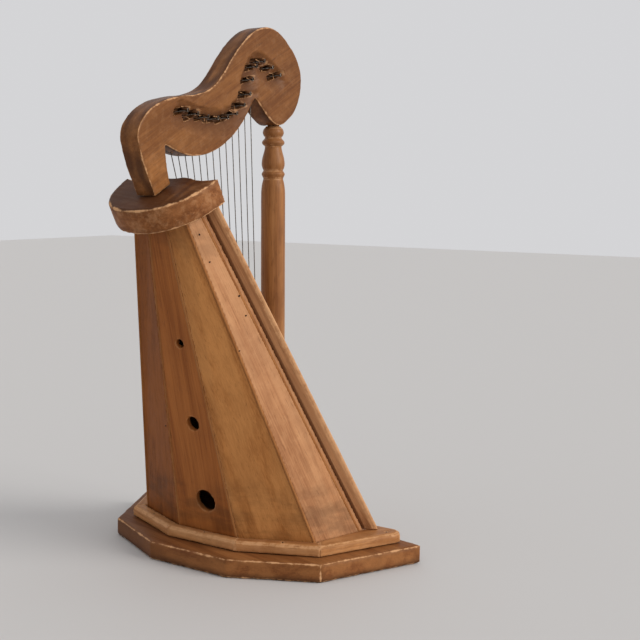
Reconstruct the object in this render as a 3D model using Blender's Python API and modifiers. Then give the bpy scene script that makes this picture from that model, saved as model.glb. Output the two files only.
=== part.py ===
"""A tabletop harp: staved sound box, stepped base, thick cap, carved neck, turned column, wire strings.

The origin lies under the middle of the base plate. +X runs towards the column, +Y to the harp's
left and +Z up. Every size below is in millimetres; vertices are turned into metres as they are made.
"""
import bpy
import bmesh
from math import cos, pi, radians, sin
from mathutils import Matrix, Vector

# ---- driving dimensions, in millimetres ------------------------------------------------------

GAP = 0.3                      # clearance left between pieces that touch

PLATE_THICK = 15.0             # base plate, cut from one board
PLATE_HALF = [(-65.0, 37.5), (-33.8, 103.0), (49.0, 143.0), (65.0, 62.0)]
PLATE_EDGE = 1.2               # worn edge of the plate

STRIP_THICK = 9.0              # strips nailed round the foot of the sound box
STRIP_OUTER = [(47.0, 129.5), (-22.8, 94.6), (-48.6, 33.7)]
STRIP_ROUND = 3.5              # rounding of a strip's upper outer edge
STRIP_NOSE = 9.0               # rounding of the side strips' front ends
STRIP_NAMES = ["side_left", "rear_left", "rear", "rear_right", "side_right"]
STRIP_BRADS = [(38.0, 117.0), (-29.5, 65.0), (-43.5, 0.0), (-29.5, -65.0), (38.0, -117.0)]

WALL_THICK = 5.0               # staves of the sound box
MITRE_GAP = 0.7                # left open between neighbouring staves
WALL_NAMES = ["side_left", "back_left", "back", "back_right", "side_right"]
BOX_FOOT = [(36.5, 101.6), (-12.6, 87.1), (-38.0, 29.8)]      # x, y of the wall corners on the plate
BOX_HEAD = [(-6.7, 27.4), (-24.9, 24.4), (-28.6, 8.4)]        # the same corners under the cap
HOLES = [(49.5, 9.0), (113.0, 5.7), (176.0, 3.5)]             # height and radius of the sound holes
HOLE_SHIFT = -3.0              # the holes stand a little to the right of the centre line

BOARD_THICK = 4.0              # soundboard
RIB_THICK = 4.0                # string rib down the soundboard's middle
RIB_WIDTH = 12.0
BEAD_THICK = 7.0               # edge beads over the joint of staves and soundboard
BEAD_INSIDE = 4.5              # how far a bead lies over the soundboard
BEAD_OUTSIDE = 10.0            # how far a bead stands out past the side wall

CAP_TILT = radians(27.5)       # the cap rises towards the strings
CAP_FRONT = (-80.1, 297.9)     # x, z of the middle of the cap's upper front edge
CAP_THICK = 20.0
CAP_HALF_WIDTH = 43.8
CAP_DEPTH = 49.7
CAP_WAVE = [(1.9, CAP_HALF_WIDTH), (-1.6, 31.5), (3.4, 13.5), (1.6, 0.0)]   # its front edge, ahead and across
CAP_FULLNESS = 0.92            # under 1 the rounded back is a little squarer than an ellipse

BLOCK_THICK = 12.0             # blocks inside the box's foot and head
BLOCK_PLAY = 1.0               # play between the blocks and the boards round them

NECK_THICK = 18.0
NECK_BACK = [(-110.0, 291.8), (-117.0, 305.3), (-121.5, 317.5), (-123.4, 328.0), (-117.5, 339.0),
             (-102.5, 349.5), (-79.3, 356.3), (-59.0, 359.3), (-41.0, 366.0), (-28.2, 377.3),
             (-17.0, 390.0), (0.3, 405.8), (16.0, 414.5), (34.0, 417.0), (55.0, 408.0),
             (71.5, 390.8), (74.5, 377.0), (68.5, 357.8), (56.5, 346.5), (43.5, 341.3),
             (30.3, 345.8), (19.8, 354.0)]
NECK_NOTCH = (11.5, 360.8)     # sharp notch between the head and the arm
NECK_UNDER = [(-2.7, 342.8), (-17.7, 330.0), (-36.5, 319.5), (-57.5, 314.3), (-74.8, 315.0)]
NECK_CORNER = (-95.0, 321.0)   # inner corner where the arm leaves the foot
NECK_FRONT = (-93.4, 307.5)    # on the foot's front face
FOOT_REAR = 29.5               # distances of the foot's corners behind the cap's front edge
FOOT_FRONT = 10.7

COLUMN_X = 47.0
SHAFT_RADIUS = 10.0
COLUMN_TOP = 340.8
COLUMN_TURNING = [(340.0, 6.6), (338.5, 8.0), (335.7, 8.7), (333.4, 7.9), (332.0, 6.9), (330.6, 7.5),
                  (328.4, 9.2), (326.6, 9.3), (326.2, 7.4), (324.4, 6.9), (320.0, 7.7), (315.0, 9.0),
                  (310.5, 9.5), (307.6, 9.0), (305.4, 8.1), (304.2, 8.7), (302.3, 9.6), (300.4, 8.9),
                  (298.6, 8.2), (296.0, 8.8), (292.5, 9.5), (288.0, 9.9)]
TENON_RADIUS = 5.0
TENON_LENGTH = 10.0

STRINGS = 13
WIRE_RADIUS = 0.35
STRING_TOP_X = (-79.5, 15.9)   # where the first and the last string enter the neck
STRING_FOOT_Z = (241.5, 43.5)  # where they leave the rib
STRING_HOLE = 0.65

SLOT_PATH = [(-76.3, 345.8), (-45.0, 342.0), (-20.0, 346.0), (-2.0, 362.0), (3.5, 380.0), (16.0, 389.3),
             (38.5, 380.3)]    # the line of gouged slots along the neck's right face
CHANNEL_DEPTHS = (0.6, 2.4)    # neighbouring wires pass each other at two depths inside the neck
SLOT_LENGTH = 11.0
SLOT_HEIGHT = 2.6
SLOT_DEPTH = 4.5
SLOT_SLANT = radians(12.0)
PIN_LENGTH = 10.2              # anchor pins stand in the slots' front ends
PIN_PROUD = 2.4
CURL_RADIUS = 1.25             # the wire's turn round its pin

BRAD_RADIUS = 0.6
BRAD_HOLE = 1.0
PIN_HOLE = 0.95
BRAD_LENGTH = 14.8
DOWEL_RADIUS = 3.0
DOWEL_LENGTH = 16.0

# ---- frames worked out from them ------------------------------------------------------------

UP = Vector((0, 0, 1))
CAP_AHEAD = Vector((cos(CAP_TILT), 0, sin(CAP_TILT)))
CAP_UP = Vector((-sin(CAP_TILT), 0, cos(CAP_TILT)))
CAP_ORIGIN = Vector((CAP_FRONT[0], 0, CAP_FRONT[1]))
HEAD_ORIGIN = CAP_ORIGIN - CAP_THICK * CAP_UP

BOARD_FOOT = Vector((BOX_FOOT[0][0], 0, PLATE_THICK))
BOARD_HEAD = HEAD_ORIGIN + BOX_HEAD[0][0] * CAP_AHEAD
BOARD_UP = (BOARD_HEAD - BOARD_FOOT).normalized()
BOARD_OUT = Vector((BOARD_UP.z, 0, -BOARD_UP.x))


def mirrored(half):
    """A half outline and its mirror image, as one run of points from +Y to -Y."""
    return list(half) + [(x, -y) for x, y in reversed(half) if y > 0]


def meet(p, q, r, s):
    """Where the line through p and q crosses the line through r and s, seen from above."""
    along = q - p
    other = s - r
    return p + along * ((r - p).cross(other) / along.cross(other))


def on_cap(ahead, y, up=0.0):
    """A point given along, across and above the cap's top face."""
    return CAP_ORIGIN + ahead * CAP_AHEAD + Vector((0, y, 0)) + up * CAP_UP


# ---- scene, collections and materials --------------------------------------------------------

for old in list(bpy.data.objects):
    bpy.data.objects.remove(old, do_unlink=True)

PARTS = bpy.data.collections.new("tabletop_harp")
CUTTERS = bpy.data.collections.new("cutters")
bpy.context.scene.collection.children.link(PARTS)
bpy.context.scene.collection.children.link(CUTTERS)


def make_material(name, colour, roughness, metallic=0.0):
    material = bpy.data.materials.new(name)
    material.use_nodes = True
    shader = material.node_tree.nodes["Principled BSDF"]
    shader.inputs["Base Color"].default_value = (*colour, 1.0)
    shader.inputs["Roughness"].default_value = roughness
    shader.inputs["Metallic"].default_value = metallic
    material.diffuse_color = (*colour, 1.0)
    return material


STAINED = make_material("stained_wood", (0.34, 0.17, 0.08), 0.45)
PALE = make_material("bare_wood", (0.62, 0.44, 0.26), 0.7)
WIRE = make_material("steel_wire", (0.35, 0.34, 0.33), 0.35, 1.0)
BRAD = make_material("brad_steel", (0.45, 0.42, 0.38), 0.4, 1.0)


# ---- mesh helpers -----------------------------------------------------------------------------

def add_object(name, mesh, material, collection=PARTS):
    thing = bpy.data.objects.new(name, mesh)
    mesh.materials.clear()
    mesh.materials.append(material)
    collection.objects.link(thing)
    return thing


def from_bmesh(name, bm, material, collection=PARTS):
    bmesh.ops.recalc_face_normals(bm, faces=bm.faces)
    mesh = bpy.data.meshes.new(name)
    bm.to_mesh(mesh)
    bm.free()
    return add_object(name, mesh, material, collection)


def loft(name, rings, material, collection=PARTS):
    """One closed body through rings of the same number of points, with flat ends."""
    bm = bmesh.new()
    rows = [[bm.verts.new(Vector(p) * 0.001) for p in ring] for ring in rings]
    for lower, upper in zip(rows, rows[1:]):
        for i in range(len(lower)):
            j = (i + 1) % len(lower)
            bm.faces.new((lower[i], lower[j], upper[j], upper[i]))
    bm.faces.new(rows[0])
    bm.faces.new(rows[-1])
    return from_bmesh(name, bm, material, collection)


def cylinder(name, centre, axis, radius, length, material, collection=PARTS, sides=24):
    """A cylinder whose middle is at centre."""
    bm = bmesh.new()
    bmesh.ops.create_cone(bm, cap_ends=True, segments=sides, radius1=radius * 0.001,
                          radius2=radius * 0.001, depth=length * 0.001)
    turn = Vector(axis).to_track_quat("Z", "Y").to_matrix().to_4x4()
    bmesh.ops.transform(bm, matrix=Matrix.Translation(Vector(centre) * 0.001) @ turn, verts=bm.verts)
    return from_bmesh(name, bm, material, collection)


def curve_to_mesh(name, curve, material, collection=PARTS):
    """The mesh of a curve, with its caps welded on."""
    carrier = bpy.data.objects.new(name + "_curve", curve)
    bpy.context.scene.collection.objects.link(carrier)
    shown = carrier.evaluated_get(bpy.context.evaluated_depsgraph_get())
    mesh = bpy.data.meshes.new_from_object(shown)
    mesh.transform(carrier.matrix_world)
    bpy.data.objects.remove(carrier)
    bpy.data.curves.remove(curve)
    bm = bmesh.new()
    bm.from_mesh(mesh)
    bpy.data.meshes.remove(mesh)
    bmesh.ops.remove_doubles(bm, verts=bm.verts, dist=1e-6)
    return from_bmesh(name, bm, material, collection)


def tube(name, points, radius, material, collection=PARTS, swell=None):
    """A round wire through the points; swell widens single points, as a knot does."""
    curve = bpy.data.curves.new(name, "CURVE")
    curve.dimensions = "3D"
    curve.bevel_depth = radius * 0.001
    curve.bevel_resolution = 2
    curve.use_fill_caps = True
    spline = curve.splines.new("POLY")
    spline.points.add(len(points) - 1)
    for i, (slot, point) in enumerate(zip(spline.points, points)):
        slot.co = (*(Vector(point) * 0.001), 1.0)
        slot.radius = (swell or {}).get(i, 1.0)
    return curve_to_mesh(name, curve, material, collection)


def flat_shape(name, corners, thickness, material, smooth_steps=6):
    """An outline in the XZ plane, thickened along Y. Corners are (x, z, is_sharp)."""
    curve = bpy.data.curves.new(name, "CURVE")
    curve.dimensions = "2D"
    curve.fill_mode = "BOTH"
    curve.extrude = thickness * 0.0005
    curve.resolution_u = smooth_steps
    spline = curve.splines.new("BEZIER")
    spline.bezier_points.add(len(corners) - 1)
    spline.use_cyclic_u = True
    for knot, (x, z, sharp) in zip(spline.bezier_points, corners):
        knot.co = (x * 0.001, z * 0.001, 0)
        kind = "VECTOR" if sharp else "AUTO"
        knot.handle_left_type = kind
        knot.handle_right_type = kind
    thing = curve_to_mesh(name, curve, material)
    thing.data.transform(Matrix.Rotation(radians(90), 4, "X"))
    return thing


def join_meshes(name, things, collection=CUTTERS):
    """Several cutters as one object of separate bodies."""
    bm = bmesh.new()
    for thing in things:
        bm.from_mesh(thing.data)
        bpy.data.objects.remove(thing)
    mesh = bpy.data.meshes.new(name)
    bm.to_mesh(mesh)
    bm.free()
    return add_object(name, mesh, PALE, collection)


def cut(target, cutter):
    """Take the cutter's shape away from the target, with the exact solver."""
    cutter.hide_render = True
    cutter.display_type = "WIRE"
    step = target.modifiers.new("cut_" + cutter.name, "BOOLEAN")
    step.operation = "DIFFERENCE"
    step.solver = "EXACT"
    step.object = cutter


def soften(target, width, segments=2, angle=40):
    """A small bevel on the target's sharp edges."""
    step = target.modifiers.new("worn_edges", "BEVEL")
    step.width = width * 0.001
    step.segments = segments
    step.limit_method = "ANGLE"
    step.angle_limit = radians(angle)


# ---- sections of the sound box ----------------------------------------------------------------

def offset_run(run, inset, front_x):
    """The run of wall lines moved inwards by inset, its two ends cut at x = front_x."""
    front = (Vector((front_x, 0)), Vector((front_x, 1)))
    lines = [front]
    for (ax, ay), (bx, by) in zip(run, run[1:]):
        along = Vector((bx - ax, by - ay)).normalized()
        start = Vector((ax, ay)) + inset * Vector((-along.y, along.x))
        lines.append((start, start + along))
    lines.append(front)
    return [meet(*first, *second) for first, second in zip(lines, lines[1:])]


def box_section(inset, front_inset):
    """Six corners on the plate and six under the cap, for walls moved inwards by inset."""
    foot = offset_run(mirrored(BOX_FOOT), inset, BOX_FOOT[0][0] - front_inset / BOARD_OUT.x)
    head = offset_run(mirrored(BOX_HEAD), inset, BOX_HEAD[0][0] - front_inset / BOARD_OUT.dot(CAP_AHEAD))
    low = [Vector((p.x, p.y, PLATE_THICK)) for p in foot]
    high = [HEAD_ORIGIN + p.x * CAP_AHEAD + Vector((0, p.y, 0)) for p in head]
    return low, high


def between(low, high, start, end):
    """The stretch of each edge line from start above its foot to end below its head."""
    bottom = []
    top = []
    for a, b in zip(low, high):
        along = (b - a).normalized()
        bottom.append(a + along * start / along.z)
        top.append(b - along * end / along.dot(CAP_UP))
    return bottom, top


# ---- base --------------------------------------------------------------------------------------

def make_base_plate():
    outline = mirrored(PLATE_HALF)
    plate = loft("base_plate", [[(x, y, 0) for x, y in outline], [(x, y, PLATE_THICK) for x, y in outline]],
                 STAINED)
    soften(plate, PLATE_EDGE)
    return plate


def nose_stations(tip, corner, heel):
    """Stations of a side strip's free end, from the wall's front edge round its nose."""
    back = (corner - tip).normalized()
    inwards = Vector((0, -1 if tip.y > 0 else 1))
    stations = [(tip + back * ((heel[0].x - tip.x) / back.x), heel)]
    for degrees in (0, 30, 60, 90):
        turn = radians(degrees)
        outside = tip + back * STRIP_NOSE * (1 - sin(turn)) + inwards * STRIP_NOSE * (1 - cos(turn))
        inside = Vector((outside.x, heel[0].y))
        stations.append((outside, [inside, inside]))
    return stations


def strip_ring(outside, inside):
    """A strip's section between a point of its outer edge and its inner foot and head."""
    foot, head = inside
    across = (head - outside).normalized()
    ring = [(*foot, PLATE_THICK + GAP), (*outside, PLATE_THICK + GAP)]
    for degrees in (0, 30, 60, 90):
        turn = radians(degrees)
        edge = outside + across * STRIP_ROUND * (1 - cos(turn))
        ring.append((*edge, PLATE_THICK + STRIP_THICK - STRIP_ROUND * (1 - sin(turn))))
    return ring + [(*head, PLATE_THICK + STRIP_THICK)]


def make_base_strips():
    """Five strips round the foot of the box, with upright mitres; the side strips end in a nose."""
    low, high = box_section(-GAP, 0)
    foot = [p.xy for p in between(low, high, GAP, 0)[0]]
    head = [p.xy for p in between(low, high, STRIP_THICK, 0)[0]]
    outer = [Vector(p) for p in mirrored(STRIP_OUTER)]
    for k, name in enumerate(STRIP_NAMES):
        a, b = outer[k], outer[k + 1]
        shift = (b - a).normalized() * GAP / 2
        first_head = meet(head[k], head[k + 1], a, foot[k])
        last_head = meet(head[k], head[k + 1], b, foot[k + 1])
        first = [(a + shift, [foot[k] + shift, first_head + shift])]
        last = [(b - shift, [foot[k + 1] - shift, last_head - shift])]
        if k == 0:
            first = nose_stations(a, b, [foot[0], head[0]])[::-1]
        if k == 4:
            last = nose_stations(b, a, [foot[5], head[5]])
        strip = loft("base_strip_" + name, [strip_ring(p, q) for p, q in first + last], STAINED)
        cut(strip, brad_hole(name, *STRIP_BRADS[k]))


def brad_hole(name, x, y):
    top = PLATE_THICK + STRIP_THICK
    depth = BRAD_LENGTH + 2 * GAP
    return cylinder("strip_hole_" + name, (x, y, top + 1 - depth / 2), UP, BRAD_HOLE, depth + 2, PALE,
                    CUTTERS, 12)


def make_strip_brads():
    top = PLATE_THICK + STRIP_THICK - GAP
    for name, (x, y) in zip(STRIP_NAMES, STRIP_BRADS):
        cylinder("strip_brad_" + name, (x, y, top - BRAD_LENGTH / 2), UP, BRAD_RADIUS, BRAD_LENGTH, BRAD,
                 sides=12)


# ---- sound box ---------------------------------------------------------------------------------

def make_staves():
    """Five tapered boards with mitred edges; the middle one has the three sound holes."""
    outer_low, outer_high = between(*box_section(0, BOARD_THICK + GAP), GAP, GAP)
    inner_low, inner_high = between(*box_section(WALL_THICK, BOARD_THICK + GAP), GAP, GAP)
    for k, name in enumerate(WALL_NAMES):
        rings = []
        for outer, inner in ((outer_low, inner_low), (outer_high, inner_high)):
            shift = (outer[k + 1] - outer[k]).normalized() * MITRE_GAP / 2
            first = Vector() if k == 0 else shift
            last = Vector() if k == 4 else shift
            rings.append([outer[k] + first, outer[k + 1] - last, inner[k + 1] - last, inner[k] + first])
        stave = loft("stave_" + name, rings, STAINED)
        if name == "back":
            cut(stave, sound_holes(outer_low[2], outer_high[2]))


def sound_holes(foot, head):
    """Round cutters square to the back stave, on a line a little right of its middle."""
    along = (head - foot).normalized()
    outwards = Vector((-along.z, 0, along.x)).normalized()
    cutters = []
    for height, radius in HOLES:
        centre = foot + along * ((height - foot.z) / along.z)
        centre.y = HOLE_SHIFT
        cutters.append(cylinder("hole", centre, outwards, radius, 4 * WALL_THICK, PALE, CUTTERS, 32))
    return join_meshes("sound_hole_cutters", cutters)


def board_point(z, y, out):
    """A point above the soundboard's front plane, whose foot on that plane has height z."""
    return BOARD_FOOT + BOARD_UP * ((z - PLATE_THICK) / BOARD_UP.z) + Vector((0, y, 0)) + BOARD_OUT * out


def make_soundboard(string_holes):
    front = between(*box_section(0, 0), GAP, GAP)
    back = between(*box_section(0, BOARD_THICK), GAP, GAP)
    rings = [[f[0], f[-1], b[-1], b[0]] for f, b in zip(front, back)]
    cut(loft("soundboard", rings, STAINED), string_holes)


def make_string_rib(string_holes):
    """The strip down the soundboard's middle that the wires pass through."""
    half = RIB_WIDTH / 2
    corners = [(-half, GAP), (half, GAP), (half, GAP + RIB_THICK), (-half, GAP + RIB_THICK)]
    rings = [[board_point(z, y, out) for y, out in corners] for z in (31.0, BOARD_HEAD.z - 3.0)]
    rib = loft("string_rib", rings, STAINED)
    cut(rib, string_holes)


def make_edge_beads():
    """Rounded strips over the joint of soundboard and side staves, standing out past the wall."""
    radius = BEAD_THICK / 2
    section = [(-BEAD_INSIDE, GAP), (-BEAD_INSIDE, GAP + BEAD_THICK - 1.5), (1.5 - BEAD_INSIDE, GAP + BEAD_THICK)]
    for step in range(7):
        turn = pi / 2 - pi * step / 6
        section.append((BEAD_OUTSIDE - radius + radius * cos(turn), GAP + radius + radius * sin(turn)))
    for side, name in ((1, "left"), (-1, "right")):
        foot = Vector((BOX_FOOT[0][0], side * BOX_FOOT[0][1], PLATE_THICK))
        head = HEAD_ORIGIN + BOX_HEAD[0][0] * CAP_AHEAD + Vector((0, side * BOX_HEAD[0][1], 0))
        along = (head - foot).normalized()
        bottom = []
        top = []
        for outwards, out in section:
            start = foot + Vector((0, side * outwards, 0)) + BOARD_OUT * out
            bottom.append(start + along * ((PLATE_THICK + STRIP_THICK + GAP - start.z) / along.z))
            top.append(start + along * ((-GAP - (start - HEAD_ORIGIN).dot(CAP_UP)) / along.dot(CAP_UP)))
        loft("edge_bead_" + name, [bottom, top], STAINED)


def make_blocks():
    """The blocks inside the box's foot and head, which the staves are nailed to."""
    low, high = box_section(WALL_THICK + BLOCK_PLAY, BOARD_THICK + BLOCK_PLAY)
    foot = loft("bottom_block", [between(low, high, GAP, 0)[0], between(low, high, GAP + BLOCK_THICK, 0)[0]],
                PALE)
    head = loft("top_block", [between(low, high, 0, GAP + BLOCK_THICK)[1], between(low, high, 0, GAP)[1]],
                PALE)
    return foot, head


# ---- cap, neck and column ----------------------------------------------------------------------

def make_cap():
    """A thick D-shaped board with a rounded back and a wavy front edge that ends in two points."""
    edge = smooth_run(mirrored(CAP_WAVE), 25)
    for step in range(1, 32):
        turn = pi * step / 32
        side = CAP_HALF_WIDTH * abs(cos(turn)) ** CAP_FULLNESS
        edge.append((-CAP_DEPTH * sin(turn) ** CAP_FULLNESS, -side if step < 16 else side))
    rings = [[on_cap(ahead, y, up) for ahead, y in edge] for up in (-CAP_THICK, 0)]
    cap = loft("cap", rings, STAINED)
    soften(cap, 0.8, segments=1)
    return cap


def smooth_run(points, count):
    """Evenly spaced points on a smooth curve through the given ones."""
    points = [Vector(p) for p in points]
    padded = [2 * points[0] - points[1], *points, 2 * points[-1] - points[-2]]
    dense = []
    for p, q, r, s in zip(padded, padded[1:], padded[2:], padded[3:]):
        for step in range(20):
            t = step / 20
            dense.append(0.5 * (2 * q + (r - p) * t + (2 * p - 5 * q + 4 * r - s) * t ** 2
                                + (3 * q - p - 3 * r + s) * t ** 3))
    dense.append(points[-1])
    run = [0.0]
    for a, b in zip(dense, dense[1:]):
        run.append(run[-1] + (b - a).length)
    spaced = []
    for k in range(count):
        target = run[-1] * k / (count - 1)
        i = min(next((n for n, length in enumerate(run) if length > target), len(run) - 1), len(run) - 1)
        share = (target - run[i - 1]) / (run[i] - run[i - 1])
        spaced.append(dense[i - 1].lerp(dense[i], min(share, 1.0)))
    return spaced


def foot_corner(distance):
    point = on_cap(-distance, 0, GAP)
    return (point.x, point.z, True)


def make_neck():
    """The carved neck: an upright foot, a waved arm and a round head over the column."""
    corners = [foot_corner(FOOT_REAR)]
    corners += [(x, z, False) for x, z in NECK_BACK]
    corners += [(*NECK_NOTCH, True)]
    corners += [(x, z, False) for x, z in NECK_UNDER]
    corners += [(*NECK_CORNER, True), (*NECK_FRONT, False), foot_corner(FOOT_FRONT)]
    return flat_shape("neck", corners, NECK_THICK, STAINED)


def make_column():
    """The turned column with a tenon at each end."""
    foot = PLATE_THICK + GAP
    profile = [(COLUMN_TOP + TENON_LENGTH, 0.0), (COLUMN_TOP + TENON_LENGTH, TENON_RADIUS),
               (COLUMN_TOP, TENON_RADIUS), (COLUMN_TOP, COLUMN_TURNING[0][1]), *COLUMN_TURNING,
               (foot + 8.0, SHAFT_RADIUS), (foot, SHAFT_RADIUS - 1.0), (foot, TENON_RADIUS),
               (foot - TENON_LENGTH, TENON_RADIUS), (foot - TENON_LENGTH, 0.0)]
    bm = bmesh.new()
    verts = [bm.verts.new((radius * 0.001, 0, z * 0.001)) for z, radius in profile]
    for a, b in zip(verts, verts[1:]):
        bm.edges.new((a, b))
    mesh = bpy.data.meshes.new("column")
    bm.to_mesh(mesh)
    bm.free()
    column = add_object("column", mesh, STAINED)
    column.location.x = COLUMN_X * 0.001
    turn = column.modifiers.new("turning", "SCREW")
    turn.steps = 32
    turn.render_steps = 32
    turn.use_merge_vertices = True
    turn.merge_threshold = 1e-6
    return column


# ---- strings -----------------------------------------------------------------------------------

class StringLine:
    """One wire's way: knot, rib, open span, neck, slot and the curl round its pin."""

    def __init__(self, number, slot_centre):
        share = number / (STRINGS - 1)
        self.name = f"{number + 1:02d}"
        foot_z = STRING_FOOT_Z[0] + (STRING_FOOT_Z[1] - STRING_FOOT_Z[0]) * share
        top_x = STRING_TOP_X[0] + (STRING_TOP_X[1] - STRING_TOP_X[0]) * share
        self.foot = foot_z
        self.leave = board_point(foot_z, 0, GAP + RIB_THICK + 0.8)
        self.enter = Vector((top_x, 0, underside(top_x)))
        self.bend = self.enter + (self.enter - self.leave).normalized() * 5.0
        self.bend.y = CHANNEL_DEPTHS[number % 2]
        self.along = Vector((cos(SLOT_SLANT), 0, sin(SLOT_SLANT)))
        self.slot = Vector((slot_centre.x, 0, slot_centre.y))
        self.rear = self.slot - self.along * (SLOT_LENGTH / 2 - 2.0)
        self.rear.y = self.bend.y
        self.pin = self.slot + self.along * (SLOT_LENGTH - SLOT_HEIGHT) / 2

    def route(self):
        face = -NECK_THICK / 2 - WIRE_RADIUS - GAP - 0.15
        inside = board_point(self.foot, 0, -BOARD_THICK)
        points = [inside - BOARD_OUT * 5.0, inside - BOARD_OUT * 4.2, inside - BOARD_OUT * 3.2,
                  inside - BOARD_OUT * 2.2, self.leave]
        span = (self.enter - self.leave).normalized()
        points += [self.leave + BOARD_OUT * 0.5 + span * 0.9, self.leave + BOARD_OUT * 0.6 + span * 4.0]
        floor = SLOT_DEPTH - NECK_THICK / 2
        points += [self.enter, self.bend, self.rear, Vector((self.rear.x, floor - 0.6, self.rear.z))]
        points += [self.slot + self.along * 1.0 + Vector((0, face, 0))]
        across = Vector((self.along.z, 0, -self.along.x))
        for step in range(11):
            turn = radians(30) * step
            points.append(self.pin + across * cos(turn) * CURL_RADIUS + self.along * sin(turn) * CURL_RADIUS
                          + Vector((0, face - 0.1 * step, 0)))
        return points


def underside(x):
    """Height of the neck's lower edge above a point of the string plane."""
    run = [NECK_CORNER, *reversed(NECK_UNDER), NECK_NOTCH, NECK_BACK[-1]]
    for (ax, az), (bx, bz) in zip(run, run[1:]):
        if ax <= x <= bx:
            return az + (bz - az) * (x - ax) / (bx - ax)
    return NECK_NOTCH[1]


def string_hole_cutters(lines):
    """Holes square through rib and soundboard."""
    middle = (RIB_THICK - BOARD_THICK) / 2
    cutters = [cylinder("hole", board_point(line.foot, 0, middle), BOARD_OUT, STRING_HOLE, 20.0, PALE,
                        CUTTERS, 12) for line in lines]
    return join_meshes("string_hole_cutters", cutters)


def slot_cutter(line):
    """A long slot with round ends, cut from the neck's right face to just past its middle."""
    half = SLOT_HEIGHT / 2
    reach = SLOT_LENGTH / 2 - half
    across = Vector((-line.along.z, 0, line.along.x))
    outline = []
    for end in (1, -1):
        for step in range(7):
            turn = -pi / 2 + pi * step / 6
            outline.append(line.slot + end * (line.along * (reach + half * cos(turn)) + across * half * sin(turn)))
    back = SLOT_DEPTH - NECK_THICK / 2
    rings = [[p + Vector((0, y, 0)) for p in outline] for y in (-NECK_THICK, back)]
    return loft("slot", rings, PALE, CUTTERS)


def channel_cutter(line):
    """The drilled way from the neck's underside to the slot."""
    below = line.enter - (line.bend - line.enter) * 1.6
    below.y = 0
    mouth = Vector((line.rear.x, SLOT_DEPTH - NECK_THICK / 2 - 1.0, line.rear.z))
    return tube("channel", [below, line.enter, line.bend, line.rear, mouth], STRING_HOLE, PALE, CUTTERS)


def pin_hole(line):
    depth = PIN_LENGTH + GAP
    middle = Vector((0, depth / 2 - NECK_THICK / 2 - PIN_PROUD, 0))
    return cylinder("pin_hole", line.pin + middle, (0, 1, 0), PIN_HOLE, depth, PALE, CUTTERS, 12)


def make_strings(lines):
    for line in lines:
        tube("string_" + line.name, line.route(), WIRE_RADIUS, WIRE, swell={1: 2.6, 2: 2.6})


def make_anchor_pins(lines):
    for line in lines:
        outer = -NECK_THICK / 2 - PIN_PROUD
        cylinder("anchor_pin_" + line.name, line.pin + Vector((0, outer + PIN_LENGTH / 2, 0)), (0, 1, 0),
                 BRAD_RADIUS, PIN_LENGTH, BRAD, sides=12)


# ---- joints between the wooden pieces ----------------------------------------------------------

def add_dowel(name, centre, axis, holders):
    """A hidden dowel and the hole for it in each piece that it joins."""
    cylinder(name, centre, axis, DOWEL_RADIUS, DOWEL_LENGTH, PALE, sides=16)
    hole = cylinder("hole_" + name, centre, axis, DOWEL_RADIUS + GAP, DOWEL_LENGTH + 2 * GAP, PALE,
                    CUTTERS, 16)
    for holder in holders:
        cut(holder, hole)


def add_socket(name, holder, z):
    """A socket for one of the column's tenons."""
    hole = cylinder("socket_" + name, (COLUMN_X, 0, z), UP, TENON_RADIUS + GAP, 2 * (TENON_LENGTH + GAP),
                    PALE, CUTTERS, 24)
    cut(holder, hole)


def build():
    slots = smooth_run(SLOT_PATH, STRINGS)
    lines = [StringLine(number, centre) for number, centre in enumerate(slots)]

    plate = make_base_plate()
    make_base_strips()
    make_strip_brads()
    make_staves()
    string_holes = string_hole_cutters(lines)
    make_soundboard(string_holes)
    make_string_rib(string_holes)
    make_edge_beads()
    bottom_block, top_block = make_blocks()
    cap = make_cap()
    neck = make_neck()
    make_column()

    make_strings(lines)
    make_anchor_pins(lines)

    add_socket("plate", plate, PLATE_THICK)
    for name, (x, y) in zip(STRIP_NAMES, STRIP_BRADS):
        cut(plate, bpy.data.objects["strip_hole_" + name])
    add_socket("neck", neck, COLUMN_TOP)
    add_dowel("neck_dowel", on_cap(-(FOOT_REAR + FOOT_FRONT) / 2, 0), CAP_UP, [neck, cap])
    cut(neck, join_meshes("channel_cutters", [channel_cutter(line) for line in lines]))
    cut(neck, join_meshes("slot_cutters", [slot_cutter(line) for line in lines]))
    cut(neck, join_meshes("pin_hole_cutters", [pin_hole(line) for line in lines]))
    for side, y in (("left", 10.0), ("right", -10.0)):
        add_dowel("cap_dowel_" + side, on_cap(-18.0, y, -CAP_THICK), CAP_UP, [cap, top_block])
    for side, y in (("left", 55.0), ("right", -55.0)):
        add_dowel("foot_dowel_" + side, (5.0, y, PLATE_THICK + 1.0), UP, [plate, bottom_block])


build()
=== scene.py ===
# %% [markdown]
# # A tabletop harp
# This lesson dresses a finished set of solids as a small stained softwood harp. The solids come first,
# as a fixed frame, and the lesson replaces each one by a piece with worn edges, tool marks and grain.

# %% Load the frame
from math import cos, exp, pi, radians, sin

import bmesh
import bpy
from mathutils import Matrix, Vector, kdtree, noise


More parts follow.
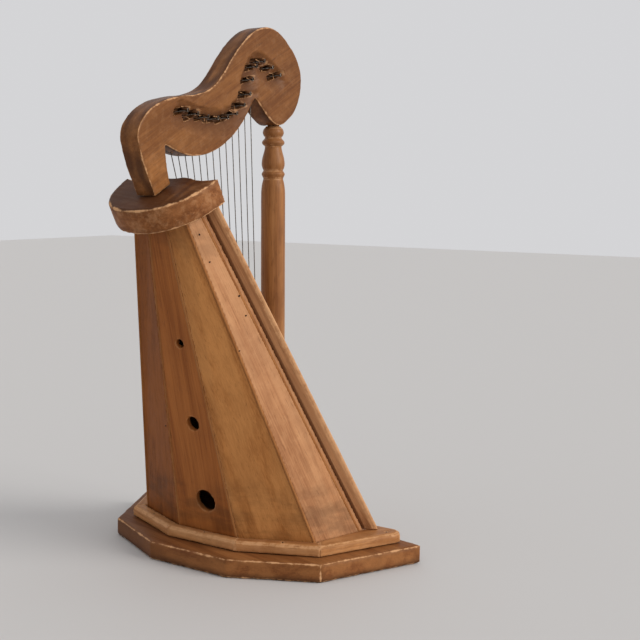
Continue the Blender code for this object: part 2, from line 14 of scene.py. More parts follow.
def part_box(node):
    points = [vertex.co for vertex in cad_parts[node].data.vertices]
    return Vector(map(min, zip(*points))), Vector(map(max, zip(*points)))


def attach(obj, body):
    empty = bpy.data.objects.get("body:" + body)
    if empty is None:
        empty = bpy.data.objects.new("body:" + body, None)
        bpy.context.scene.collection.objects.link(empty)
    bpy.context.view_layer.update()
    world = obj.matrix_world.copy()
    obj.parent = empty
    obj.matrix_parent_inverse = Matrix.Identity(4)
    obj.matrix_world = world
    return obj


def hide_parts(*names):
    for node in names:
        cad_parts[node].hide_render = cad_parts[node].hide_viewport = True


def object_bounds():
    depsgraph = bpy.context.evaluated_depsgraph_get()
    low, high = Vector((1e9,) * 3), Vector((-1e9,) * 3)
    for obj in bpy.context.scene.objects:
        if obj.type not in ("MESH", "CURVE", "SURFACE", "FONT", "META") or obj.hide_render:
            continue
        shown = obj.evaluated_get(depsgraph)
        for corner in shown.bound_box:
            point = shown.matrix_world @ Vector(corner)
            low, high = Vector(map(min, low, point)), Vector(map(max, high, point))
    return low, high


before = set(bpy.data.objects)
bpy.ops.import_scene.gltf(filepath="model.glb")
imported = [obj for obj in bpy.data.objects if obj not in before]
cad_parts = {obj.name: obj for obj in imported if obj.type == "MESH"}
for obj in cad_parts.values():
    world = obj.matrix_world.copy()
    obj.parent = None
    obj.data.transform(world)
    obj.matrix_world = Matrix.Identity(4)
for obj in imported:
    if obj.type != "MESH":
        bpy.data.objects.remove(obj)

MM = 0.001
CAD_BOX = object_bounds()
print("harp, depth width height in mm:", [round((b - a) / MM, 1) for a, b in zip(*CAD_BOX)])

# %% [markdown]
# ## Arithmetic on sockets
# A material is a web of nodes, and most of those nodes only add and multiply. Wiring them by hand hides
# the sum that is meant. One small class wraps a socket and gives it the usual operators, so a sum can be
# written as a sum. One method makes every other kind of node: its settings first, then its sockets.

# %% Signals and webs
class Signal:
    """A socket that understands arithmetic: each operator adds one Math node."""

    def __init__(self, web, socket):
        self.web = web
        self.socket = socket

    def math(self, operation, *values, clamp=False):
        return self.web.node("ShaderNodeMath", {"operation": operation, "use_clamp": clamp},
                             dict(enumerate(values)))

    def __add__(self, other):
        return self.math("ADD", self, other)

    def __sub__(self, other):
        return self.math("SUBTRACT", self, other)

    def __rsub__(self, other):
        return self.math("SUBTRACT", other, self)

    def __mul__(self, other):
        return self.math("MULTIPLY", self, other)

    def clamped(self):
        return self.math("ADD", self, 0.0, clamp=True)

    __radd__ = __add__
    __rmul__ = __mul__


class Web:
    """A node tree, and the one way in which this lesson adds nodes to it."""

    def __init__(self, tree):
        self.tree = tree

    def node(self, kind, settings=None, values=None, out=0):
        made = self.tree.nodes.new(kind)
        for name, setting in (settings or {}).items():
            setattr(made, name, setting)
        for name, value in (values or {}).items():
            target = made.inputs[name]
            if isinstance(value, Signal):
                self.tree.links.new(value.socket, target)
            else:
                target.default_value = value
        return Signal(self, made.outputs[out]) if made.outputs else made

    def noise(self, vector, scale, detail=3.0, roughness=0.5, distortion=0.0):
        return self.node("ShaderNodeTexNoise", None, {
            "Vector": vector, "Scale": scale, "Detail": detail, "Roughness": roughness,
            "Distortion": distortion})

    def stretched(self, vector, amounts):
        return self.node("ShaderNodeVectorMath", {"operation": "MULTIPLY"}, {0: vector, 1: amounts})

    def step(self, signal, low, high):
        """0 below low and 1 above high, with a smooth rise between; low may be the larger."""
        return self.node("ShaderNodeMapRange", {"interpolation_type": "SMOOTHSTEP"},
                         {"Value": signal, "From Min": low, "From Max": high})

    def mix(self, share, a, b):
        """Two colours mixed; share is a Signal or a number. A Mix node's colours are sockets 6 and 7."""
        colours = [c if isinstance(c, Signal) else (*c, 1.0) for c in (a, b)]
        return self.node("ShaderNodeMix", {"data_type": "RGBA"},
                         {0: share, 6: colours[0], 7: colours[1]}, out=2)

    def attribute(self, name):
        """A number that the mesh keeps at each of its points."""
        return self.node("ShaderNodeAttribute", {"attribute_name": name}, None, out="Fac")

    def send(self, signal, inputs, name):
        """Wires the signal to a named socket of another node."""
        self.tree.links.new(signal.socket, inputs[name])


def new_finish(name, constants):
    """A Principled material with its unchanging sockets set, and the web to wire the others."""
    material = bpy.data.materials.new(name)
    material.use_nodes = True
    shader = material.node_tree.nodes["Principled BSDF"]
    for socket, value in constants.items():
        shader.inputs[socket].default_value = value
    return material, Web(material.node_tree), shader


print("webs ready")

# %% [markdown]
# ## Stained softwood
# The harp is pine or a like wood under a warm brown stain and a thin wax. Seen closely it has fine dark
# fibres along each board, broad growth bands, blotches where the stain soaked in, small dark pores, pale
# wood where the arrises are rubbed through, and dark wax left in the corners. Each of these is one noise
# or one mask. The boards run in different directions, so a Mapping node turns the pattern along each.
# Three numbers come from the mesh, as attributes: how near an arris a point is, how deep a tool went, and
# how much darker the place is painted, for its stain and as painted shade and light. Deep cuts are also
# painted dark, as painted shade in the gouges and dirt in the turned grooves.

# %% Tones
PORE_DARK = (0.02, 0.010, 0.005)
BRUSHED_STAIN = (0.05, 0.021, 0.008)
SOAKED_STAIN = (0.03, 0.013, 0.006)
# The dark of deep stain, also used for painted shade and painted light from the mesh's attribute
DARK_STAIN_AND_SHADE = (0.030, 0.013, 0.005)
OLD_WAX = (0.03, 0.014, 0.007)
# The dark in cuts: painted shade in the neck's gouges, and dirt in the column's grooves
SHADE_AND_DIRT_IN_CUTS = (0.040, 0.016, 0.007)
BARE_WOOD = (212, 162, 116)
SATIN = {"Specular IOR Level": 0.14}


def paint(red, green, blue):
    """A paint chart colour of 0 to 255 steps as the linear colour that shaders use."""
    return tuple((c / 255 / 12.92) if c < 10.3 else ((c / 255 + 0.055) / 1.055) ** 2.4
                 for c in (red, green, blue))


print("bare wood as a linear colour:", [round(c, 3) for c in paint(*BARE_WOOD)])

# %% Grain
class Grain:
    """The noises of one piece of wood, turned so that its fibres run along the given direction."""

    def __init__(self, web, along, seed, mottle_size):
        self.place = web.node("ShaderNodeTexCoord", None, None, out="Object")
        turn = Vector(along).rotation_difference(Vector((0, 0, 1))).to_euler()
        board = web.node("ShaderNodeMapping", None, {
            "Vector": self.place, "Rotation": turn, "Location": (seed, seed * 0.37, seed * 0.71)})
        wander = web.noise(web.stretched(board, (1.0, 1.0, 0.35)), 16.0, 2.0)
        bent = web.node("ShaderNodeVectorMath", {"operation": "MULTIPLY_ADD"},
                        {0: wander, 1: (0.012, 0.012, 0.0), 2: board})
        self.fine = web.noise(web.stretched(bent, (1.0, 1.0, 0.022)), 950.0, 4.0, 0.62)
        self.coarse = web.noise(web.stretched(bent, (1.0, 1.0, 0.03)), 260.0, 3.0, 0.55)
        self.ring = web.noise(web.stretched(bent, (1.0, 1.0, 0.06)), 75.0, 2.0, 0.5)
        self.stain = web.noise(web.stretched(board, (1.0, 1.0, 0.5)), 26.0, 4.0, 0.6, 0.4)
        self.cloud = web.noise(self.place, mottle_size, 6.0, 0.7, 0.3)
        self.patchy = web.noise(self.place, 170.0, 4.0, 0.65)
        self.strokes = web.noise(web.stretched(self.place, (0.30, 0.30, 1.0)), 95.0, 4.0, 0.6)
        self.height = web.node("ShaderNodeSeparateXYZ", None, {"Vector": self.place}, out="Z")
        self.fibres = web.step(self.fine * 0.5 + self.coarse * 0.5, 0.36, 0.62)
        pores = web.noise(web.stretched(bent, (1.0, 1.0, 0.09)), 1250.0, 2.0, 0.5)
        self.pores = web.step(pores, 0.38, 0.28)


print("grain ready")

# %% Stain marks and painted shade
def brushed(web, colour, grain, mark):
    """Brush marks across the grain near a height; mark is (height, reach, amount)."""
    at, reach, amount = mark
    off = grain.height - at + (grain.stain - 0.5) * reach * 1.2
    near = web.step(off.math("ABSOLUTE", off), reach, reach * 0.3)
    return web.mix(near * web.step(grain.strokes, 0.36, 0.66) * amount, colour,
                   web.mix(0.6, colour, BRUSHED_STAIN))


def smeared(web, colour, grain, mark):
    """A dark stain below the height low that fades out at high; mark is (low, high, amount)."""
    low, high, amount = mark
    soaked = web.step(grain.height + (grain.stain - 0.5) * (high - low), high, low)
    return web.mix(soaked * amount, colour, web.mix(0.72, colour, SOAKED_STAIN))


def worn_and_shaded(web, colour, grain, dark, wax, rub, rub_colour):
    """Deep stain with painted shade and light, wax, rubbed arrises, tool cuts painted dark as shade, and how
    strongly each point was rubbed.
    """
    arris, cut, deep = (web.attribute(name) for name in ("arris_mm", "tool_depth", "painted_light_and_stain"))
    # Darker by the mesh's attribute: real stain, and painted shade and painted light
    stain_and_shade_share = (deep * (1.15 + (grain.stain - 0.5) * 1.6)).clamped()
    colour = web.mix(stain_and_shade_share * 0.85, colour, web.mix(0.4, dark, DARK_STAIN_AND_SHADE))
    rubbed = web.step(arris + (grain.patchy - 0.5) * 4.2, 1.25, 0.15) * web.step(cut, 0.02, 0.005)
    waxed = web.step(arris + (grain.patchy - 0.5) * 7.0, 4.6, 1.2) * web.step(grain.stain, 0.40, 0.58)
    colour = web.mix(waxed * wax, colour, web.mix(0.6, colour, OLD_WAX))
    colour = web.mix(rubbed * rub, colour, rub_colour)
    # Deep cuts are painted dark: painted shade in the gouges
    colour = web.mix(web.step(cut, 0.25, 0.95) * 0.74, colour, SHADE_AND_DIRT_IN_CUTS)
    torn = web.step(cut, 0.03, 0.12) * web.step(cut, 0.50, 0.25) * web.step(grain.patchy, 0.44, 0.56)
    return web.mix(torn * 0.35, colour, rub_colour), rubbed


print("stain marks ready")

# %% The wood finish
def stained_wood(name, along, dark, mid, light, seed=0.0, fibre=0.55, bands=0.5, blotch=0.5, mottle=0.0,
                 mottle_size=115.0, flecks=0.35, rub=0.6, smear=None, foot=None, head=None, wax=0.3,
                 roughness=0.46, relief=0.3):
    """Stained wood whose grain runs along the given direction.

    smear is (low, high, amount) and foot and head are (height, reach, amount), in metres.
    """
    material, web, shader = new_finish(name, SATIN)
    grain = Grain(web, along, seed, mottle_size)
    dark, mid, light, bare = (paint(*tone) for tone in (dark, mid, light, BARE_WOOD))
    colour = web.mix(grain.fibres * fibre + (1.0 - fibre), dark, mid)
    colour = web.mix(web.step(grain.ring, 0.38, 0.60) * bands, colour, light)
    colour = web.mix(web.step(grain.stain, 0.60, 0.34) * blotch, colour, web.mix(0.55, colour, dark))
    if mottle:
        colour = web.mix(web.step(grain.cloud, 0.46, 0.66) * mottle, colour, bare)
        colour = web.mix(web.step(grain.cloud, 0.50, 0.34) * mottle, colour, dark)
    colour = web.mix(grain.pores * flecks, colour, web.mix(0.75, colour, PORE_DARK))
    for mark in (foot, head):
        if mark:
            colour = brushed(web, colour, grain, mark)
    if smear:
        colour = smeared(web, colour, grain, smear)
    colour, rubbed = worn_and_shaded(web, colour, grain, dark, wax, rub, bare)
    shine = roughness + (grain.stain - 0.5) * 0.30 + rubbed * 0.16 + (1.0 - grain.fibres) * 0.06
    surface = grain.fine * 0.45 + grain.coarse * 0.55 + grain.cloud * 0.35 - grain.pores * 0.4
    bump = web.node("ShaderNodeBump", None, {"Height": surface, "Strength": relief, "Distance": 0.6 * MM},
                    out="Normal")
    for signal, socket in ((colour, "Base Color"), (shine.clamped(), "Roughness"), (bump, "Normal")):
        web.send(signal, shader.inputs, socket)
    return material


print("wood finish ready")

# %% [markdown]
# ## Working the boards
# A sawn solid has arrises like knives, and real ones are rubbed round, dented and uneven. A bevel would
# be the same width everywhere. Instead each solid is laid out again on a fine even net, and every point of
# the net learns its distance to the nearest arris of the solid. Points near an arris are pushed in, more in
# some places than in others, and the distance is kept as an attribute for the finish to read.

# %% Arrises
def unit(value):
    """The value held between 0 and 1."""
    return min(max(value, 0.0), 1.0)


def merged_copy(node):
    """The node's mesh as a bmesh with its loose triangles joined."""
    bm = bmesh.new()
    bm.from_mesh(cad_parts[node].data)
    bmesh.ops.remove_doubles(bm, verts=bm.verts, dist=1e-6)
    return bm


def arris_spots(bm, angle=28.0, spacing=0.8 * MM):
    """Points along every edge whose faces meet at more than the angle."""
    spots = []
    for edge in bm.edges:
        if len(edge.link_faces) == 2 and edge.calc_face_angle(0.0) > radians(angle):
            a, b = (v.co.copy() for v in edge.verts)
            count = max(1, int((b - a).length / spacing))
            spots += [a.lerp(b, i / count) for i in range(count + 1)]
    return spots


def search_tree(spots):
    """A tree that finds the spot nearest to any point."""
    tree = kdtree.KDTree(len(spots))
    for index, spot in enumerate(spots):
        tree.insert(spot, index)
    tree.balance()
    return tree


print("arris tools ready")

# %% An even net
def on_even_net(bm, cell):
    """The solid laid out again as an even net of cells of that size."""
    mesh = bpy.data.meshes.new("net")
    bm.to_mesh(mesh)
    carrier = bpy.data.objects.new("net", mesh)
    bpy.context.scene.collection.objects.link(carrier)
    layout = carrier.modifiers.new("layout", "REMESH")
    layout.mode = "VOXEL"
    layout.voxel_size = cell
    shown = carrier.evaluated_get(bpy.context.evaluated_depsgraph_get())
    net = bpy.data.meshes.new_from_object(shown)
    bpy.data.objects.remove(carrier)
    bpy.data.meshes.remove(mesh)
    return net


def keep_attribute(mesh, name, values):
    """Keeps one number for each point of the mesh, for the finish to read."""
    attribute = mesh.attributes.new(name, "FLOAT", "POINT")
    attribute.data.foreach_set("value", values)


def place_piece(name, mesh, finish, nodes):
    """Puts a finished mesh in the scene in the place of its CAD nodes."""
    mesh.name = name
    mesh.materials.clear()
    mesh.materials.append(finish)
    mesh.polygons.foreach_set("use_smooth", [True] * len(mesh.polygons))
    piece = bpy.data.objects.new(name, mesh)
    bpy.context.scene.collection.objects.link(piece)
    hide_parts(*nodes)
    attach(piece, "root")
    print(f"{name}: {len(mesh.polygons)} faces")


print("net ready")

# %% Rubbing
def rub_arris(distance, point, radius, depth):
    """How far a point that near an arris is pushed in; all in metres."""
    reach = radius * (1.0 + 0.7 * noise.noise(point * 130.0))
    if distance >= reach:
        return 0.0
    uneven = 1.0 + 0.6 * noise.noise(point * 310.0 + Vector((7, 3, 1)))
    return depth * (1.0 - distance / reach) ** 2 * uneven


print("rubbing ready")

# %% A worked board
FAR_FROM_ARRIS = 12.0


def worked_board(node, finish, cell, radius, depth, waver, carve=None, stain=None, tight=None):
    """A board in place of a CAD node; cell, rub's radius and depth, and waver are in millimetres.

    carve moves single points further, and stain says how much darker a point is painted, from 0 to 1, for its
    stain and as painted shade and light.
    tight is (axis, swell): faces that look along the axis swell, which closes a glued joint.
    """
    bm = merged_copy(node)
    tree = search_tree(arris_spots(bm))
    net = on_even_net(bm, cell * MM)
    bm.free()
    low, high = (Vector(corner) for corner in CAD_BOX)
    starts = [vertex.co.copy() for vertex in net.vertices]
    normals = [vertex.normal.copy() for vertex in net.vertices]
    places, arris, cuts = [], [], []
    for point, normal in zip(starts, normals):
        distance = tree.find(point)[2]
        inwards = rub_arris(distance, point, radius * MM, depth * MM)
        inwards += waver * MM * (0.5 + 0.5 * noise.noise(point * 38.0))
        if tight:
            axis, swell = tight
            inwards -= (inwards + swell * MM) * unit((abs(normal.dot(axis)) - 0.3) / 0.5)
        moved, tool = point - normal * inwards, 0.0
        if carve:
            moved, tool = carve(point, moved)
        places += [min(max(c, a), b) for c, a, b in zip(moved, low, high)]
        arris.append(min(distance / MM, FAR_FROM_ARRIS))
        cuts.append(tool)
    net.vertices.foreach_set("co", places)
    keep_attribute(net, "arris_mm", arris)
    keep_attribute(net, "tool_depth", cuts)
    if stain:
        keep_attribute(net, "painted_light_and_stain", [stain(p, n) for p, n in zip(starts, normals)])
    place_piece(node + "_worked", net, finish, [node])


print("board tools ready")

# %% [markdown]
# ## The camera, the floor and the light
# The harp stands on a plain pale floor and is seen from behind its right side, a little above the middle.
# One broad soft light on the camera's right gives each stave its own tone, and a pale surrounding fills
# the shadows. The camera's frame is built from three turns: yaw, a slight look down, and a trace of roll.

# %% Camera
CAMERA_PLACE = (-0.6973, -0.5381, 0.2932)
LENS_MM, SENSOR_MM = 62.42, 36.0
YAW, DOWN, ROLL = radians(33.413), radians(6.901), radians(0.435)
ahead = Vector((cos(YAW) * cos(DOWN), sin(YAW) * cos(DOWN), -sin(DOWN)))
level = Vector((sin(YAW), -cos(YAW), 0.0))
upright = level.cross(ahead)
right = cos(ROLL) * level + sin(ROLL) * upright
above = cos(ROLL) * upright - sin(ROLL) * level
lens = bpy.data.cameras.new("view")
lens.lens = LENS_MM
lens.sensor_width = SENSOR_MM
camera = bpy.data.objects.new("view", lens)
camera.matrix_world = (Matrix.Translation(CAMERA_PLACE)
                       @ Matrix((right, above, -ahead)).transposed().to_4x4())
bpy.context.scene.collection.objects.link(camera)
bpy.context.scene.camera = camera
print("camera looks along", [round(c, 3) for c in ahead])

# %% Floor and surroundings
FLOOR_HALF = 4.0
bpy.context.scene.view_settings.view_transform = "Standard"
floor_mesh = bpy.data.meshes.new("floor")
floor_mesh.from_pydata([(x * FLOOR_HALF, y * FLOOR_HALF, 0) for x, y in ((-1, -1), (1, -1), (1, 1), (-1, 1))],
                       [], [(0, 1, 2, 3)])
floor = bpy.data.objects.new("floor", floor_mesh)
bpy.context.scene.collection.objects.link(floor)
floor_mesh.materials.append(new_finish("pale_floor", {
    "Base Color": (0.60, 0.585, 0.57, 1.0), "Roughness": 0.7, "Specular IOR Level": 0.2})[0])

world = bpy.data.worlds.new("pale_room")
world.use_nodes = True
surroundings = world.node_tree.nodes["Background"].inputs
surroundings["Color"].default_value = (0.93, 0.93, 0.95, 1.0)
surroundings["Strength"].default_value = 0.71
bpy.context.scene.world = world
print("floor", 2 * FLOOR_HALF, "m wide")

# %% Window light
FROM_WINDOW = Vector((0.19, -0.90, 0.38))
window = bpy.data.lights.new("window", "SUN")
window.energy = 2.2
window.angle = radians(34.0)
window.color = (1.0, 0.985, 0.96)
holder = bpy.data.objects.new("window", window)
holder.matrix_world = (-FROM_WINDOW).to_track_quat("-Z", "Y").to_matrix().to_4x4()
bpy.context.scene.collection.objects.link(holder)
print("window light", window.energy)

# %% [markdown]
# ## The base
# One thick plate with worn corners carries five narrower strips, nailed round the foot of the box. The
# plate lies flat, so its grain runs along its longest side, and the strips run along their own length.

# %% Plate
plate_finish = stained_wood("plate_wood", (0.25, 1, 0), (86, 44, 19), (137, 85, 45), (162, 108, 62), 1.3,
                            blotch=0.7, rub=0.85, smear=(0.0005, 0.007, 0.8), roughness=0.5)


def plate_painted_shade(point, normal):
    """The plate is painted darker towards its left end, away from the window light, more on its sides than on
    its top: painted shade.
    """
    shade_weight = 1.0 if abs(normal.z) < 0.6 else 0.5
    # Painted shade: darker from 18 mm left of the middle outwards
    return 0.62 * shade_weight * unit((point.y - 18 * MM) / (40 * MM))


worked_board("base_plate", plate_finish, 1.3, 2.6, 0.9, 0.35, stain=plate_painted_shade)

# %% Strips
STRIPS = {
    "side_left": ((0.9, 0.45, 0), 2.1), "rear_left": ((0.45, 1, 0), 3.4), "rear": ((0, 1, 0), 4.2),
    "rear_right": ((-0.45, 1, 0), 5.9), "side_right": ((0.9, -0.45, 0), 7.7)}
STRIP_TONES = ((122, 72, 36), (190, 132, 80), (210, 156, 106))
for strip, (run, seed) in STRIPS.items():
    finish = stained_wood("strip_wood_" + strip, run, *STRIP_TONES, seed, blotch=0.8, mottle=0.16,
                          mottle_size=70.0, rub=0.6, roughness=0.48)
    worked_board("base_strip_" + strip, finish, 0.8, 1.8, 0.5, 0.35, tight=(Vector(run).normalized(), 0.25))

# %% [markdown]
# ## Trees that make meshes
# Some pieces repeat or follow a path: glue lines, nails and slivers. They could be modelled one by one,
# but Geometry Nodes make them from a few points and named sizes. Each tree runs once, on a carrier that is
# removed again, and its result is kept as a plain mesh.

# %% A tree that becomes a mesh
class GeometryWeb(Web):
    """A Geometry Nodes tree with named inputs, used once and turned into a plain mesh."""

    def __init__(self, name):
        super().__init__(bpy.data.node_groups.new(name, "GeometryNodeTree"))
        self.keys = {}
        self.tree.interface.new_socket("Geometry", in_out="INPUT", socket_type="NodeSocketGeometry")
        self.tree.interface.new_socket("Geometry", in_out="OUTPUT", socket_type="NodeSocketGeometry")
        self.entry = self.tree.nodes.new("NodeGroupInput")
        self.exit = self.tree.nodes.new("NodeGroupOutput")
        self.start = Signal(self, self.entry.outputs["Geometry"])

    def ask(self, name, kind, value):
        """A named input of the tree, as a signal."""
        socket = self.tree.interface.new_socket(name, in_out="INPUT", socket_type="NodeSocket" + kind)
        self.keys[name] = (socket.identifier, value)
        return Signal(self, self.entry.outputs[name])

    def dress(self, signal, finish):
        """Ends the tree: the instances become real and take the finish."""
        whole = self.node("GeometryNodeRealizeInstances", None, {"Geometry": signal})
        dressed = self.node("GeometryNodeSetMaterial", None, {"Geometry": whole, "Material": finish})
        self.send(dressed, self.exit.inputs, "Geometry")

    def bake(self, name, mesh):
        """Runs the tree on the mesh and puts the plain mesh that comes out in the scene."""
        carrier = bpy.data.objects.new("carrier", mesh)
        bpy.context.scene.collection.objects.link(carrier)
        step = carrier.modifiers.new("tree", "NODES")
        step.node_group = self.tree
        for identifier, value in self.keys.values():
            step[identifier] = value
        shown = carrier.evaluated_get(bpy.context.evaluated_depsgraph_get())
        result = bpy.data.meshes.new_from_object(shown)
        bpy.data.objects.remove(carrier)
        result.name = name
        piece = bpy.data.objects.new(name, result)
        bpy.context.scene.collection.objects.link(piece)
        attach(piece, "root")
        print(f"{name}: {len(result.polygons)} faces")
        return piece


print("trees ready")

# %% [markdown]
# ## The sound box
# Five tapered staves stand round the box. They come from different boards, and each took the stain in its
# own way. One loop works them all, and a short table gives each its own tones and direction of grain.

# %% Staves
STAVES = {
    "side_left": dict(along=(-0.2, -0.3, 1), dark=(90, 46, 20), mid=(140, 88, 46), light=(156, 104, 58)),
    "back_left": dict(along=(-0.1, -0.25, 1), dark=(84, 38, 12), mid=(134, 76, 28), light=(150, 86, 34)),
    "back": dict(along=(-0.23, 0, 1), dark=(102, 48, 16), mid=(160, 95, 44), light=(174, 108, 54)),
    "back_right": dict(along=(-0.1, 0.28, 1), dark=(128, 74, 30), mid=(184, 122, 66), light=(198, 138, 80)),
    "side_right": dict(along=(-0.35, 0.3, 1), dark=(122, 74, 42), mid=(178, 124, 82), light=(196, 144, 100),
                       mottle=0.12, mottle_size=120.0)}
SEED, SEED_STEP = 8.0, 1.7
for index, (stave, wood) in enumerate(STAVES.items()):
    finish = stained_wood("stave_wood_" + stave, seed=SEED + SEED_STEP * index, blotch=0.45, rub=0.22,
                          foot=(0.036, 0.040, 0.65), head=(0.262, 0.034, 0.4), wax=0.0, roughness=0.5, **wood)
    worked_board("stave_" + stave, finish, 1.0, 1.0, 0.2, 0.15)

# %% [markdown]
# ## Glue in the seams
# The staves meet at mitres, and each mitre was filled with glue and sanded level, so no dark gap shows.
# Wider staves would run into each other, so a thin rod along each seam fills it from behind. The box's
# section is one polygon at its foot and another at its head, and the seams join their corners.

# %% Seams of the sound box
PLATE_TOP = 15.0
FOOT_CORNERS = [(36.5, 101.6, PLATE_TOP), (-12.6, 87.1, PLATE_TOP), (-38.0, 29.8, PLATE_TOP)]
HEAD_CORNERS = [(-76.8, 27.4, 277.1), (-92.9, 24.4, 268.7), (-96.2, 8.4, 267.0)]
BOX_MIDDLES = (Vector((6.0, 0.0, PLATE_TOP + 0.3)), Vector((-82.0, 0.0, 0.0)))
BOARD_JOINT = [(-4.5, -1.3, 0.4), (-3.7, -0.7, -2.3)]


def mitre_line(foot, head, side, inset):
    """One seam between two staves; the corners, and the inset towards the middle, are in millimetres."""
    ends = (Vector((foot[0], side * foot[1], foot[2] + 0.3)),
            Vector((head[0], side * head[1], head[2] - 0.4)))
    middles = (BOX_MIDDLES[0], BOX_MIDDLES[1] + Vector((0.0, 0.0, head[2])))
    return [(end + (middle - end).normalized() * inset) * MM for end, middle in zip(ends, middles)]


def board_line(side, inset):
    """The seam along one edge of the soundboard; the inset is in millimetres."""
    ends = (FOOT_CORNERS[0], HEAD_CORNERS[0])
    return [Vector((x + u, side * (y + v - inset), z + w)) * MM
            for (x, y, z), (u, v, w) in zip(ends, BOARD_JOINT)]


def seam_lines(inset):
    """The seams between the staves and along the soundboard's edges."""
    mitres = zip(FOOT_CORNERS[1:], HEAD_CORNERS[1:])
    lines = [mitre_line(foot, head, side, inset) for foot, head in mitres for side in (1, -1)]
    return lines + [board_line(side, inset) for side in (1, -1)]


print("seams:", len(seam_lines(0.0)))

# %% Rods along the seams
def rods_along(name, finish, lines, radius, sides):
    """A round rod along each line, made as a curve with a round section."""
    web = GeometryWeb(name)
    width = web.ask("Radius", "Float", radius)
    corners = web.ask("Sides", "Int", sides)
    paths = web.node("GeometryNodeMeshToCurve", None, {"Mesh": web.start})
    ring = web.node("GeometryNodeCurvePrimitiveCircle", None, {"Resolution": corners, "Radius": width})
    rods = web.node("GeometryNodeCurveToMesh", None, {
        "Curve": paths, "Profile Curve": ring, "Fill Caps": True})
    web.dress(rods, finish)
    wires = bpy.data.meshes.new(name + "_paths")
    wires.from_pydata([end for line in lines for end in line],
                      [(2 * k, 2 * k + 1) for k in range(len(lines))], [])
    return web.bake(name, wires)


glue_finish = stained_wood("seam_wood", (0, 0, 1), (104, 56, 24), (152, 97, 50), (170, 116, 68), 17.0,
                           wax=0.0, rub=0.0)
rods_along("seam_glue", glue_finish, seam_lines(1.0), 1.15 * MM, 12)

# %% [markdown]
# ## Soundboard, rib and beads
# The soundboard closes the front of the box, and its edge carries on the tone of the side staves. A rounded
# bead covers each front joint. Its back is a plane in the solid. Here that back is sloped point by point,
# and the corner against the stave is painted dark, a painted shadow of the gap, which draws a thin line
# beside the bead.

# %% Soundboard and rib
UP_BOARD = (-0.43, 0, 1)
board_finish = stained_wood("soundboard_wood", UP_BOARD, (122, 74, 42), (178, 124, 82), (196, 144, 100),
                            21.0, rub=0.0, wax=0.0)
worked_board("soundboard", board_finish, 1.3, 1.2, 0.3, 0.2)
rib_finish = stained_wood("rib_wood", UP_BOARD, (96, 54, 28), (148, 98, 60), (170, 120, 78), 23.5)
worked_board("string_rib", rib_finish, 0.6, 1.2, 0.35, 0.1)

# %% Beads
board_out = Vector((0.918, 0.0, 0.397))
foot_edge = Vector(FOOT_CORNERS[0]) * MM
edge_up = (Vector(HEAD_CORNERS[0]) * MM - foot_edge).normalized()
BEAD_SLOPE, BEAD_WIDTH, BEAD_NOSE = 2.4, 8.5, 7.3
BEAD_FOOT, BEAD_DROP = 26.2 * MM, 0.9 * MM
GROOVE = 1.7


def beside_edge(point):
    """How far a point lies outwards of the front corner and off the soundboard, in millimetres."""
    flipped = Vector((point.x, abs(point.y), point.z)) - foot_edge
    return (flipped - edge_up * flipped.dot(edge_up)).y / MM, flipped.dot(board_out) / MM


def hollow_back(point, moved):
    """The bead's back slopes from the stave's edge out to its nose, so that it catches the light."""
    outwards, off_board = beside_edge(point)
    slope = BEAD_SLOPE * unit(outwards / BEAD_WIDTH) * unit((BEAD_NOSE - off_board) / 7.0)
    settled = Vector((0.0, 0.0, -BEAD_DROP if point.z < BEAD_FOOT else 0.0))
    return moved + board_out * slope * MM + settled, 0.0


def groove_painted_shade(point, normal):
    """The corner where the bead meets the stave is painted dark: a painted shadow line in the gap."""
    outwards, off_board = beside_edge(point)
    # Painted shadow: dark within GROOVE millimetres of the stave, near the soundboard
    return unit((GROOVE - outwards) / 0.7) if off_board < 3.0 else 0.0


for side, lean in (("left", -0.33), ("right", 0.33)):
    bead_finish = stained_wood("bead_wood_" + side, (-0.43, lean, 1), (132, 82, 48), (196, 142, 96),
                               (216, 164, 118), 26.0 + lean, blotch=0.6, rub=0.5, roughness=0.42)
    worked_board("edge_bead_" + side, bead_finish, 0.8, 1.4, 0.4, 0.3, hollow_back, groove_painted_shade)

# %% [markdown]
# ## The cap
# A thick rounded board closes the box. Its upper edge is chipped, and its side was rubbed until it is
# mottled, while the top kept its dark stain, with painted light towards its front right. The grain of the top
# runs across the harp.

# %% Cap
cap_finish = stained_wood("cap_wood", (0.2, 1, 0.1), (80, 41, 18), (140, 86, 45), (158, 104, 62), 31.0,
                          blotch=0.6, mottle=0.24, mottle_size=140.0, rub=0.95, roughness=0.48, relief=0.45)
CAP_TILT = radians(27.5)
CAP_UP = Vector((-sin(CAP_TILT), 0.0, cos(CAP_TILT)))


def cap_stain_and_painted_light(point, normal):
    """The top is dark with old wax, and painted lighter towards its front right, the side towards the window
    light: a painted highlight.
    """
    top = unit((normal.dot(CAP_UP) - 0.5) / 0.3)
    towards_window = (point.x * 0.6 - point.y * 0.8) / MM
    streak = noise.noise(Vector((point.x * 45.0, point.y * 160.0, 2.0)))
    # Painted light: the top's dark stain fades towards the front right, the side of the window light
    return top * (1.0 - 0.62 * unit((towards_window + 46.0) / 22.0 + streak))


worked_board("cap", cap_finish, 0.8, 2.4, 1.0, 0.45, stain=cap_stain_and_painted_light)

# %% [markdown]
# ## The neck
# The neck was sawn from a board, and a crooked trough was gouged along its right face for the wires' ends.
# Each wire has a slot there. The gouge went in from the front end of the slot and dug deeper towards its
# rear, and it tore the fibres on the way. The cuts are worked out from the slots' own places.

# %% The line of slots
SLOT_PATH = [(-76.3, 345.8), (-45.0, 342.0), (-20.0, 346.0), (-2.0, 362.0), (3.5, 380.0), (16.0, 389.3),
             (38.5, 380.3)]
SLANT = radians(12.0)
FACE = -9 * MM
PIN_TO_MIDDLE = 4.2 * MM


